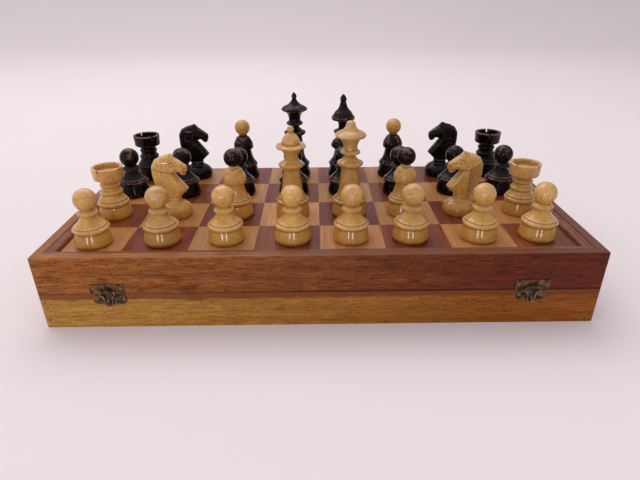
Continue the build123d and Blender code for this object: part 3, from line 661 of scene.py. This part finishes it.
darkQueen = {
    "outline": [
        (13.2, 0, 0), (14.2, 3.2, 0.45), (12, 11.2, 0.2), (13.3, 12.3, 0.1), (13.2, 13.9, 0.3),
        (11.9, 14.9, 0), (11.6, 15.9, 0.2), (10.9, 16.5, 0), (8, 26.2, -0.6), (8.3, 27.4, 0),
        (10.9, 29.4, 0.1), (10.8, 32.8, 0.7), (7.4, 36.8, 0.5), (4.5, 38.6, 0.1), (4.5, 41.2, 0),
        (8.6, 42.8, -0.2), (8.6, 45, 0.5), (4.4, 47.3, -0.2), (4.4, 50.4, 0), (5.4, 53.4, -0.1),
        (10.5, 55.4, -0.3), (11, 57.8, 0.4), (7.9, 62.5, -0.2), (5.2, 65.3, -0.1), (3.8, 68.1, -0.1),
        (2.5, 72.6, -0.1), (3.2, 74.6, 0.3), (0.4, 78.9, 0.3),
    ],
}
knight = {
    "foot": [
        (11.8, 0, 0), (13.5, 4.2, 0.5), (11.6, 9, 0.7), (7.4, 12, 0.4), (6.2, 13.4, -0.2), (6, 16, -0.2),
    ],
    # the head from the side: (forward, height, rounding of the corner); its root is let into the foot
    "head": [
        (-5.2, 13.4, 1), (4.2, 13.4, 1), (5.6, 16.4, 1.5), (12.6, 23.2, 0.7), (2.4, 36.6, 1.2),
        (6.2, 37.6, 1.2), (8.8, 34.8, 1.4), (11.4, 34.4, 1.4), (13.3, 38.4, 2), (13.2, 42.2, 2.2),
        (8.6, 45.8, 2.5), (4.4, 48.8, 1.5), (1.2, 52.6, 0.8), (-1.6, 51.4, 1.2), (-6.4, 50.2, 2.5),
        (-11.8, 47.4, 3.5), (-14.7, 42.4, 4), (-14.8, 34, 6), (-13.8, 26.5, 5), (-11, 20.4, 3),
        (-7.2, 16.4, 1.5),
    ],
    "halfWidth": 5.4, "edge": 3.4, "pitch": 0.36,
    "eye": (2.6, 44.2), "nostril": (11.4, 40.2), "cheek": (2.6, 41.4, 4.4),
    # lines cut from one point to another: (depth, width, from, to)
    "cuts": [
        (0.45, 0.9, (0.2, 46.6), (5.6, 46.0)),  # brow
        (0.4, 0.9, (5.4, 43.8), (10.6, 42.0)),  # bridge of the nose
        (0.9, 0.8, (13.4, 37.4), (8.6, 38.2)),  # mouth
        (0.5, 1.0, (1.0, 51.6), (0.2, 48.4)),  # hollow of the ear
        (0.5, 0.9, (-1.6, 51.4), (-2.2, 47.0)),  # behind the ear
        (0.4, 0.8, (4.4, 48.8), (2.0, 47.6)),  # forelock
        (0.45, 1.3, (2.4, 36.6), (-6.0, 38.2)),  # jaw, running on to the back of the neck
        (0.3, 1.3, (-6.0, 38.2), (-14.9, 41.4)),
    ],
    "maneCut": (1.2, 0.95, (-15.2, 25.8), (-4.2, 19.8)),  # the lowest of the mane's lines
    # the last number is how much painted shade the cut lines get
    "maneLines": 9, "manePitch": 2.3, "cutLineShade": 1.7,
}


def smooth(value, low, high):
    t = np.clip((value - low) / (high - low), 0, 1)
    return t * t * (3 - 2 * t)


def groove(u, w, a, b, width):
    # 1 on the line from a to b, falling to 0 at its width
    ax, az = a
    dx, dz = b[0] - ax, b[1] - az
    t = np.clip(((u - ax) * dx + (w - az) * dz) / (dx * dx + dz * dz), 0, 1)
    return 1 - smooth(np.hypot(u - ax - t * dx, w - az - t * dz), 0, width)


def roundedLoop(corners, steps=7):
    loop = []
    for i, (x, z, radius) in enumerate(corners):
        here = np.array((x, z))
        ends = []
        for other in (corners[i - 1], corners[(i + 1) % len(corners)]):
            run = np.array(other[:2]) - here
            ends.append((run, np.linalg.norm(run)))
        (toLast, lastLength), (toNext, nextLength) = ends
        inner = math.acos(np.clip(toLast @ toNext / (lastLength * nextLength), -1, 1))
        trim = min(radius / math.tan(inner / 2), 0.48 * lastLength, 0.48 * nextLength)
        start, end = here + toLast / lastLength * trim, here + toNext / nextLength * trim
        for step in range(steps + 1):
            t = step / steps
            loop.append((1 - t) ** 2 * start + 2 * t * (1 - t) * here + t * t * end)
    return np.array(loop)


def resample(loop, pitch):
    closed = np.vstack([loop, loop[:1]])
    reach = np.concatenate([[0], np.cumsum(np.linalg.norm(np.diff(closed, axis=0), axis=1))])
    marks = np.linspace(0, reach[-1], int(reach[-1] / pitch), endpoint=False)
    return np.column_stack([np.interp(marks, reach, closed[:, i]) for i in (0, 1)])


def knightHead(maned):
    # both sides of the head are one relief over its side view, rounded off at the edge
    loop = resample(roundedLoop(knight["head"]), knight["pitch"])
    low, high = loop.min(axis=0), loop.max(axis=0)
    across, up = np.meshgrid(*(np.arange(low[i], high[i], knight["pitch"]) for i in (0, 1)))
    inner = np.column_stack([across.ravel(), up.ravel()])
    ends = np.roll(loop, -1, axis=0)

    def toEdge(points):
        run = ends - loop
        share = np.einsum("ijk,jk->ij", points[:, None] - loop[None], run) / (run ** 2).sum(axis=1)
        t = np.clip(share, 0, 1)
        return np.linalg.norm(points[:, None] - loop[None] - t[..., None] * run[None], axis=2).min(axis=1)

    def isInside(points):
        x, z = points[:, :1], points[:, 1:]
        crossings = (loop[:, 1] > z) != (ends[:, 1] > z)
        with np.errstate(divide="ignore", invalid="ignore"):
            at = loop[:, 0] + (z - loop[:, 1]) / (ends[:, 1] - loop[:, 1]) * (ends[:, 0] - loop[:, 0])
        return (crossings & (x < at)).sum(axis=1) % 2 == 1

    inner = inner[isInside(inner)]
    inner = inner[toEdge(inner) > 0.45 * knight["pitch"]]
    count = len(loop)
    seeds = [Vector(point) for point in np.vstack([loop, inner])]
    flat, _, faces, _, _, _ = delaunay_2d_cdt(seeds, [], [list(range(count))], 1, 1e-5, False)
    flat = np.array([tuple(point) for point in flat])
    faces = np.array([tuple(face) for face in faces])
    faces = faces[isInside(flat[faces].mean(axis=1))]
    u, w = flat[:, 0], flat[:, 1]
    gap = toEdge(flat)
    # narrower at the muzzle, the ears, the throat and the mane
    half = knight["halfWidth"] - 1.7 * smooth(u, 4, 13) * smooth(w, 32, 36) - 2.3 * smooth(w, 45, 52.5)
    half = half - 0.7 * smooth(w, 24, 15) - 0.9 * smooth(-u, 7, 13) * smooth(w, 20, 30)
    depth = half * np.sqrt(1 - (1 - np.clip(gap / knight["edge"], 0, 1)) ** 2)
    cheekX, cheekZ, cheekSize = knight["cheek"]
    eyeX, eyeZ = knight["eye"]
    nostrilX, nostrilZ = knight["nostril"]
    fromCheek = np.hypot(u - cheekX, w - cheekZ)
    fromEye = np.hypot((u - eyeX) / 1.7, (w - eyeZ + 0.2 * (u - eyeX)) / 1.1)
    depth = depth + 0.6 * (1 - smooth(fromCheek, 0.5 * cheekSize, cheekSize))
    depth = depth + 0.4 * (1 - smooth(fromEye, 0, 0.9))
    cuts = [
        (0.3, (1 - smooth(np.abs(fromCheek - cheekSize), 0, 0.9)) * smooth(cheekX + 1 - u, -6, 3)),
        (0.7, 1 - smooth(np.abs(fromEye - 1), 0, 0.5)),
        (0.8, 1 - smooth(np.hypot(u - nostrilX, w - nostrilZ), 0.2, 1.2)),
    ]
    cuts += [(size, groove(u, w, start, end, width)) for size, width, start, end in knight["cuts"]]
    if maned:
        for line in range(knight["maneLines"]):
            (size, width, start, end), rise = knight["maneCut"], line * knight["manePitch"]
            cuts.append((size, groove(u, w, (start[0], start[1] + rise), (end[0], end[1] + rise), width)))
    carved = np.clip(np.max([size * mask for size, mask in cuts], axis=0), 0, 1)
    depth = depth - np.sum([size * mask for size, mask in cuts], axis=0)
    depth = np.where(gap < 0.02, 0.0, np.maximum(depth, 0.05))
    edge = np.flatnonzero(gap < 0.02)
    other = np.arange(len(flat)) + len(flat)
    other[edge] = edge
    points = np.vstack([np.column_stack([u, -depth, w]), np.column_stack([u, depth, w])]) * mm
    sides = faces.tolist() + other[faces[:, ::-1]].tolist()
    mesh = bpy.data.meshes.new("head")
    mesh.from_pydata(points.tolist(), [], sides)
    rubbed = 0.45 * (1 - smooth(gap, 0.1, 1.1)) * (1 - carved)
    # painted shade in the cut lines, below zero; rubbed edges are above zero
    setAttribute(mesh, "wearAndShade", np.tile(rubbed - knight["cutLineShade"] * carved, 2))
    shape = bmesh.new()
    shape.from_mesh(mesh)
    loose = [vertex for vertex in shape.verts if not vertex.link_faces]
    bmesh.ops.delete(shape, geom=loose, context="VERTS")
    shape.to_mesh(mesh)
    shape.free()
    return tidyMesh(mesh)


def joined(meshes, material):
    # several closed shells as one mesh
    shape = bmesh.new()
    for mesh in meshes:
        shape.from_mesh(mesh)
    result = newMesh("joined", shape)
    setAttribute(result, "wearAndShade", np.concatenate([
        [value.value for value in mesh.attributes["wearAndShade"].data] for mesh in meshes]))
    result.materials.append(material)
    result.shade_smooth()
    return result


def cutNotches(mesh):
    # two slots across the top of a rook
    holder = addObject("tower", mesh)
    cutters = []
    for size in ((30, rook["notch"]), (rook["notch"], 30)):
        shape = bmesh.new()
        bmesh.ops.create_cube(shape, size=1)
        bmesh.ops.scale(shape, vec=(size[0] * mm, size[1] * mm, 6 * mm), verts=shape.verts)
        bmesh.ops.translate(shape, vec=(0, 0, (rook["notchFloor"] + 3) * mm), verts=shape.verts)
        cutter = addObject("slot", newMesh("slot", shape))
        cutters.append(cutter)
        modifier = holder.modifiers.new("slot", "BOOLEAN")
        modifier.object, modifier.operation, modifier.solver = cutter, "DIFFERENCE", "EXACT"
    result = finishedMesh(holder)
    for used in [holder, *cutters]:
        bpy.data.objects.remove(used)
    finish = mesh.materials[-1]  # for the cut faces too
    result.materials.clear()
    result.materials.append(finish)
    result.polygons.foreach_set("material_index", np.zeros(len(result.polygons), dtype=np.int32))
    return smoothMesh(result)


tones = np.random.default_rng(7)
lift = 0.01 * mm  # the men are clear of the squares by less than can be seen


def standMan(node, shape, turnBy, bare, footReach=None):
    # a man stands on the axis of its CAD node; a knight's muzzle points from there to the middle
    low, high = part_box(node)
    mesh = shape.copy()
    heights = getPoints(mesh)[:, 2]
    setAttribute(mesh, "rise", (heights - heights.min()) / (heights.max() - heights.min()))
    setAttribute(mesh, "tone", np.full(len(heights), tones.random()))
    setAttribute(mesh, "bare", np.full(len(heights), bare))
    axis = (low[0] + high[0]) / 2
    if footReach:  # the foot reaches further forward than the muzzle
        axis = high[0] - footReach if turnBy == 0 else low[0] + footReach
    place = (axis, (low[1] + high[1]) / 2, boardTop + lift)
    mesh.transform(Matrix.Translation(place) @ Matrix.Rotation(turnBy, 4, "Z"))
    return addPiece(node.title().replace("_", ""), mesh, node)


colours = {"light": "boxwood", "dark": "ebonised_wood"}
# how bare the tops of the men are rubbed
wornTops = {
    "light": {"pawn": 0.55, "rook": 0.3, "knight": 0.3, "bishop": 0.4, "ball": 0.4, "royal": 0.5},
    "dark": {"pawn": 0.36, "rook": 0.05, "knight": 0.0, "bishop": 0.42, "ball": 0.2, "royal": 0.05},
}
for colour, wood in colours.items():
    finish, bare = finishes[wood], wornTops[colour]
    other = [name for name in colours.values() if name != wood][0]
    pawnShape = turn(pawn["outline"], finish, pawn["ball"])
    for number in range(1, 9):
        standMan(f"{colour}_pawn_{number}", pawnShape, tones.random() * math.tau, bare["pawn"])
    towers = cutNotches(turn(rook["outline"], finish))
    hoods = turn(bishop["outline"], finish)
    balls = turn(bishop["ballFoot"], finishes[other], bishop["ball"])
    foot = turn(knight["foot"], finish)
    for side in ("left", "right"):
        askew = math.radians(rook["turned"][colour, side])
        standMan(f"{colour}_rook_{side}", towers, askew, bare["rook"])
        standMan(f"{colour}_bishop_{side}", hoods, 0.0, bare["bishop"])
        standMan(f"{colour}_bishop_{side}_ball", balls, 0.0, bare["ball"])
        steed = joined([foot, knightHead(maned=(colour, side) == ("light", "right"))], finish)
        standMan(f"{colour}_knight_{side}", steed, 0.0 if side == "left" else math.pi,
                 bare["knight"], getPoints(foot)[:, 0].max())
    crown = king["stump"] if colour == "light" else king["spire"]
    standMan(f"{colour}_king", turn(king["outline"] + crown, finish), 0.0, bare["royal"])
    if colour == "light":
        queen = turn(lightQueen["outline"], finish, lightQueen["ball"])
    else:
        queen = turn(darkQueen["outline"], finish)
    standMan(f"{colour}_queen", queen, 0.0, bare["royal"])
print("chessmen turned and carved")


# Box: the rails are planed strips, rounded along their outer edges and mitred at the front corners

rails = {
    "corner": 1.8 * mm, "edge": 0.9 * mm, "seamEdge": 0.6 * mm, "backCorner": 1.2 * mm, "joint": 0.04 * mm,
}


def arc(x, y, radius, start, end, steps=5):
    angles = [math.radians(start + (end - start) * i / steps) for i in range(steps + 1)]
    return [(x + radius * math.cos(angle), y + radius * math.sin(angle)) for angle in angles]


def strip(plan, outer, low, high, lowEdge, highEdge):
    # a plan extruded from low to high; its first points are the outer side, whose long edges are rounded
    shape = bmesh.new()
    rings = [[shape.verts.new((x, y, z)) for x, y in plan] for z in (low, high)]
    shape.faces.new(reversed(rings[0]))
    shape.faces.new(rings[1])
    for i in range(len(plan)):
        j = (i + 1) % len(plan)
        shape.faces.new((rings[0][i], rings[0][j], rings[1][j], rings[1][i]))
    for ring, size in zip(rings, (lowEdge, highEdge)):
        ring = [vertex for vertex in ring if vertex.is_valid]
        wanted = set(ring[:outer])
        edges = [edge for edge in shape.edges if set(edge.verts) <= wanted]
        bmesh.ops.bevel(shape, geom=edges, offset=size, segments=3, profile=0.5, affect="EDGES")
    return tidyMesh(newMesh("strip", shape))


for tray in trays:
    low, high = (0.0, seam) if tray == "lower" else (seam, top)
    edges = (rails["edge"], rails["seamEdge"]) if tray == "lower" else (rails["seamEdge"], rails["edge"])
    r, gap, bend = rails["corner"], rails["joint"], rails["backCorner"]
    left = arc(-outerX + r + gap, front + r, r, 225, 270)
    right = arc(outerX - r - gap, front + r, r, 270, 315)
    plan = left + right + [(innerX - gap, innerFront), (-innerX + gap, innerFront)]
    addPiece(f"{tray}FrontStrip", strip(plan, len(left + right), low, high, *edges), f"{tray}_front_rail",
             finishes[f"{tray}_front"])
    corner = arc(outerX - r, front + r + gap, r, 315, 360) + arc(outerX - bend, back - bend, bend, 0, 90)
    plan = corner + [(innerX, back), (innerX, innerFront + gap)]
    shape = bmesh.new()
    shape.from_mesh(strip(plan, len(corner), low, high, *edges))
    copied = bmesh.ops.duplicate(shape, geom=shape.verts[:] + shape.edges[:] + shape.faces[:])["geom"]
    for vertex in (item for item in copied if isinstance(item, bmesh.types.BMVert)):
        vertex.co.x *= -1
    bmesh.ops.reverse_faces(shape, faces=[item for item in copied if isinstance(item, bmesh.types.BMFace)])
    mesh = smoothMesh(newMesh("sides", shape))
    addPiece(f"{tray}SideStrips", mesh, f"{tray}_side_rails", finishes[f"{tray}_side"])
print("box built")


# Nails: domed heads, each set a little askew

nails = {
    # a nail's head stands out by the thickness of a clasp's plate
    "nail": {"radius": 1.05 * mm, "dome": 0.4 * mm, "out": 0.5 * mm, "finish": "nail_steel"},
    "brad": {"radius": 0.7 * mm, "dome": 0.14 * mm, "out": 0.0, "finish": "brad_iron"},
}
nailTilt = 7


def nailTree():
    sockets = {"Radius": "Float", "Dome": "Float", "Tilt": "Float", "Seed": "Int", "Finish": "Material"}
    tree, given = startTree("nailHeads", "Places", sockets, "Heads")
    ball = addNode(tree, "GeometryNodeMeshUVSphere", None, {"Segments": 20, "Rings": 12, "Radius": 1.0})
    size = addNode(tree, "ShaderNodeCombineXYZ", None, None,
                   {"X": (given, "Radius"), "Y": (given, "Dome"), "Z": (given, "Radius")})
    head = addNode(tree, "GeometryNodeTransform", None, None,
                   {"Geometry": (ball, "Mesh"), "Scale": (size, "Vector")})
    less = addNode(tree, "ShaderNodeMath", {"operation": "MULTIPLY"}, {"Value_001": -1.0},
                   {"Value": (given, "Tilt")})
    lean = addNode(tree, "FunctionNodeRandomValue", {"data_type": "FLOAT"}, None,
                   {"Min": (less, "Value"), "Max": (given, "Tilt"), "Seed": (given, "Seed")})
    turned = addNode(tree, "ShaderNodeCombineXYZ", None, None, {"X": (lean, "Value"), "Z": (lean, "Value")})
    spread = addNode(tree, "GeometryNodeInstanceOnPoints", None, None,
                     {"Points": (given, "Places"), "Instance": (head, "Geometry"),
                      "Rotation": (turned, "Vector")})
    real = addNode(tree, "GeometryNodeRealizeInstances", None, None, {"Geometry": (spread, "Instances")})
    rounded = addNode(tree, "GeometryNodeSetShadeSmooth", None, None, {"Geometry": (real, "Geometry")})
    painted = addNode(tree, "GeometryNodeSetMaterial", None, None,
                      {"Geometry": (rounded, "Geometry"), "Material": (given, "Finish")})
    addNode(tree, "NodeGroupOutput", None, None, {"Heads": (painted, "Geometry")})
    return tree


def solidsOf(node):
    # lowest and highest corner of each separate solid of a CAD node
    shape = bmesh.new()
    shape.from_mesh(nodes[node].data)
    bmesh.ops.remove_doubles(shape, verts=shape.verts, dist=0.001 * mm)
    boxes, seen = [], set()
    for start in shape.verts:
        if start in seen:
            continue
        stack, found = [start], []
        seen.add(start)
        while stack:
            vertex = stack.pop()
            found.append(vertex.co)
            for edge in vertex.link_edges:
                neighbour = edge.other_vert(vertex)
                if neighbour not in seen:
                    seen.add(neighbour)
                    stack.append(neighbour)
        spots = np.array(found)
        boxes.append((spots.min(axis=0), spots.max(axis=0)))
    shape.free()
    return boxes


nailNodes = nailTree()
for tray in trays:
    heads = {"nail": [], "brad": []}
    for low, high in solidsOf(f"{tray}_nails"):
        kind = "nail" if low[1] < front - 0.1 * mm else "brad"
        heads[kind].append(((low[0] + high[0]) / 2, front - nails[kind]["out"], (low[2] + high[2]) / 2))
    for number, (kind, places) in enumerate(heads.items()):
        holder = bpy.data.meshes.new("places")
        holder.from_pydata(places, [], [])
        mesh = evaluate(holder, nailNodes, {
            "Radius": nails[kind]["radius"], "Dome": nails[kind]["dome"], "Tilt": math.radians(nailTilt),
            "Seed": 3 + number, "Finish": finishes[nails[kind]["finish"]],
        })
        addPiece(f"{tray}{kind.title()}s", mesh, f"{tray}_nails")
print("nails driven")


# CAD nodes that keep their shape

kept = {
    "light_veneer": ["upper_light_squares", "lower_light_squares"],
    "dark_veneer": ["upper_dark_squares", "lower_dark_squares"],
    "bead_wood": ["upper_bead", "lower_bead"],
    "panel_wood": ["upper_panel", "lower_panel"],
    "hinge_brass": ["upper_hinge_leaves", "lower_hinge_leaves"],
    "nail_steel": ["upper_hinge_screws", "lower_hinge_screws"],
    "clasp_brass": ["clasp_plates", "catch_plates"],
    "bail_wire": ["left_bail", "right_bail"],
    "upper_side": ["upper_back_rail"],
    "lower_side": ["lower_back_rail"],
}
for finish, names in kept.items():
    for name in names:
        nodes[name].data.materials.clear()
        nodes[name].data.materials.append(finishes[finish])
print("CAD nodes dressed")


# Stage, lights and camera

stage = {
    "width": 12.0, "nearest": -3.0, "wall": 2.6, "bend": 0.9, "height": 2.6, "colour": "#F2ECEE",
    "cloud": "#EEE7E8",
}


def buildStage():
    # a floor that curves up into a wall
    path = [(stage["nearest"], 0.0)]
    for step in range(17):
        angle = math.pi / 2 * step / 16
        path.append((stage["wall"] - stage["bend"] + stage["bend"] * math.sin(angle),
                     stage["bend"] - stage["bend"] * math.cos(angle)))
    path.append((stage["wall"], stage["height"]))
    half = stage["width"] / 2
    points = [(x, y, z) for y, z in path for x in (-half, half)]
    faces = [(2 * i, 2 * i + 1, 2 * i + 3, 2 * i + 2) for i in range(len(path) - 1)]
    mesh = bpy.data.meshes.new("sweep")
    mesh.from_pydata(points, [], faces)
    mesh.shade_smooth()
    material, tree, shader = startFinish("matt paper sweep", {"Roughness": 0.9, "Specular IOR Level": 0.2})
    clouds = figure(tree, [0.4] * 3, 3.0, shift=2.0)
    colour = blend(tree, (clouds, "Fac"), stage["colour"], stage["cloud"])
    tree.links.new(colour.outputs["Result"], shader.inputs["Base Color"])
    mesh.materials.append(material)
    sweep = addObject("sweep", mesh)


lights = {
    # a broad soft source above and behind, two tall windows in front, and a wash on the far left of the sweep
    "skylight": {
        "place": (-0.35, 0.75, 1.5), "aim": (0, 0, 0), "size": (1.6, 1.2), "power": 10.5,
        "colour": "#FFF8F2",
    },
    "windowLeft": {
        "place": (-0.57, -1.63, 0.3), "aim": (0, 0, 0.06), "size": (0.17, 0.42), "power": 3.0,
        "colour": "#F8F5FF",
    },
    "windowRight": {
        "place": (0.21, -1.63, 0.3), "aim": (0, 0, 0.06), "size": (0.17, 0.42), "power": 2.6,
        "colour": "#F8F5FF",
    },
    "wallWash": {
        "place": (-1.8, 1.3, 1.8), "aim": (-1.5, 2.3, 0.05), "size": (1.8, 1.8), "power": 5.5,
        "colour": "#F6F4FF",
    },
}
# the room is brightest overhead and behind the board, and dim behind the viewer
ambient = {"colour": "#F5EFF3", "toward": (-0.36, 0.45, 0.82), "dim": 0.2, "bright": 0.86}
camera = {
    "place": (-0.00277, -0.3996, 0.2207), "yaw": 0.491, "pitch": 26.824, "roll": -0.374, "lens": 28.13,
}


def buildLights():
    for name, light in lights.items():
        lamp = bpy.data.lights.new(name, "AREA")
        lamp.shape = "RECTANGLE"
        lamp.size, lamp.size_y = light["size"]
        lamp.energy = light["power"]
        lamp.color = linear(light["colour"])[:3]
        holder = addObject(name, lamp)
        holder.location = light["place"]
        holder.rotation_euler = (Vector(light["aim"]) - Vector(light["place"])).to_track_quat("-Z",
                                                                                              "Y").to_euler()
    world = bpy.data.worlds.new("room")
    bpy.context.scene.world = world
    world.use_nodes = True
    world.node_tree.nodes.clear()
    sky = addNode(world.node_tree, "ShaderNodeTexCoord")
    facing = addNode(world.node_tree, "ShaderNodeVectorMath", {"operation": "DOT_PRODUCT"},
                     {"Vector_001": ambient["toward"]}, {"Vector": (sky, "Generated")})
    strength = addNode(world.node_tree, "ShaderNodeMapRange", {"interpolation_type": "SMOOTHSTEP"},
                       {"From Min": -0.6, "From Max": 0.7, "To Min": ambient["dim"],
                        "To Max": ambient["bright"]},
                       {"Value": (facing, "Value")})
    glow = addNode(world.node_tree, "ShaderNodeBackground", None, {"Color": linear(ambient["colour"])},
                   {"Strength": (strength, "Result")})
    addNode(world.node_tree, "ShaderNodeOutputWorld", None, None, {"Surface": (glow, "Background")})


def buildCamera():
    yaw, pitch, roll = (math.radians(camera[key]) for key in ("yaw", "pitch", "roll"))
    ahead = Vector((math.sin(yaw) * math.cos(pitch), math.cos(yaw) * math.cos(pitch), -math.sin(pitch)))
    right = Vector((math.cos(yaw), -math.sin(yaw), 0))
    up = right.cross(ahead)
    tiltedRight = right * math.cos(roll) + up * math.sin(roll)
    tiltedUp = up * math.cos(roll) - right * math.sin(roll)
    data = bpy.data.cameras.new("camera")
    data.lens, data.sensor_width = camera["lens"], 36.0
    data.clip_start = 0.01
    holder = addObject("camera", data)
    turnTo = Matrix((tiltedRight, tiltedUp, -ahead)).transposed().to_4x4()
    holder.matrix_world = Matrix.Translation(camera["place"]) @ turnTo
    bpy.context.scene.camera = holder


buildStage()
buildLights()
buildCamera()
bpy.context.scene.view_settings.view_transform = "Standard"
print("stage lit")
